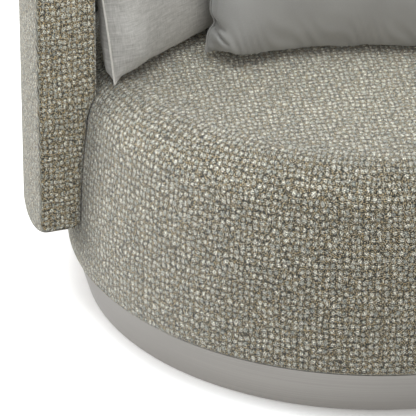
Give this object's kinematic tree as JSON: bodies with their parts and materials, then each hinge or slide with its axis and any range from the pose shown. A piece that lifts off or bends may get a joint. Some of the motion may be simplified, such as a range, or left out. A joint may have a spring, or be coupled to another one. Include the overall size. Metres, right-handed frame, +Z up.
{
  "type": "swivel lounge chair",
  "caption": "Round upholstered lounge chair whose seat drum swivels on a ball turntable over a steel plinth, with a wrap-around arm and back band, a back cushion and loose pillows.",
  "frame": {"origin": "on the swivel axis at floor level, in the middle of the centre glide's underside", "axes": "+Z up, the chair faces -Y, +X to the viewer's right from the front"},
  "size_m": [1.1584, 1.0897, 0.9066],
  "materials": {
    "stainless": "satin",
    "zinc_steel": "satin",
    "ball_steel": "polished",
    "black_plastic": "matte",
    "felt": "matte",
    "plywood": "matte",
    "foam": "matte",
    "fibre_fill": "matte",
    "weave": "matte",
    "linen": "matte",
    "linen_piping": "matte",
    "sateen": "satin"
  },
  "bodies": {
    "base": {"floor_glides": "felt", "plinth_skirt": "stainless", "plinth_core": "plywood", "plinth_hub": "plywood", "plinth_board": "plywood", "lower_race": "zinc_steel", "lower_race_screws": "zinc_steel", "king_bolt": "zinc_steel", "king_washers": "zinc_steel", "king_nut": "zinc_steel"},
    "bearing": {"bearing_balls": "ball_steel", "bearing_cage": "black_plastic"},
    "seat": {"upper_race": "zinc_steel", "upper_race_screws": "zinc_steel", "king_bush": "black_plastic", "seat_base_board": "plywood", "drum_wall": "plywood", "deck_posts": "plywood", "deck_ring": "plywood", "edge_roll": "foam", "zigzag_springs": "zinc_steel", "spring_clips": "zinc_steel", "spring_felt": "felt", "seat_foam": "foam", "side_foam": "foam", "seat_cover": "weave", "band_bottom_rail": "plywood", "band_posts": "plywood", "band_top_rail": "plywood", "band_inner_panel": "plywood", "band_outer_panel": "plywood", "band_inner_foam": "foam", "band_top_foam": "foam", "band_outer_wadding": "foam", "arm_end_boards": "plywood", "band_cover": "weave", "arm_front_covers": "weave", "band_bolts": "zinc_steel", "back_cushion_core": "foam", "back_cushion_cover": "weave"},
    "left_pillow": {"left_pillow_insert": "fibre_fill", "left_pillow_cover": "linen", "left_pillow_piping": "linen_piping"},
    "right_pillow": {"right_pillow_insert": "fibre_fill", "right_pillow_cover": "linen", "right_pillow_piping": "linen_piping"},
    "lumbar_pillow": {"lumbar_pillow_insert": "fibre_fill", "lumbar_pillow_cover": "sateen", "lumbar_pillow_piping": "sateen"}
  },
  "joints": [
    {"name": "swivel", "type": "hinge", "parent": "base", "child": "seat", "pos_m": [0, 0, 0.07], "axis": [0, 0, 1], "continuous": true},
    {"name": "cage_turn", "type": "hinge", "parent": "base", "child": "bearing", "pos_m": [0, 0, 0.07], "axis": [0, 0, 1], "continuous": true},
    {"name": "left_pillow_lift", "type": "slide", "parent": "seat", "child": "left_pillow", "axis": [-0.108, 0.162, 0.9809], "range_m": [0, 0.5]},
    {"name": "right_pillow_lift", "type": "slide", "parent": "seat", "child": "right_pillow", "axis": [0.108, 0.162, 0.9809], "range_m": [0, 0.5]},
    {"name": "lumbar_pillow_lift", "type": "slide", "parent": "seat", "child": "lumbar_pillow", "axis": [0, 0, 1], "range_m": [0, 0.5]}
  ],
  "couplings": [
    {"joint": "cage_turn", "follows": "swivel", "ratio": 0.5}
  ]
}
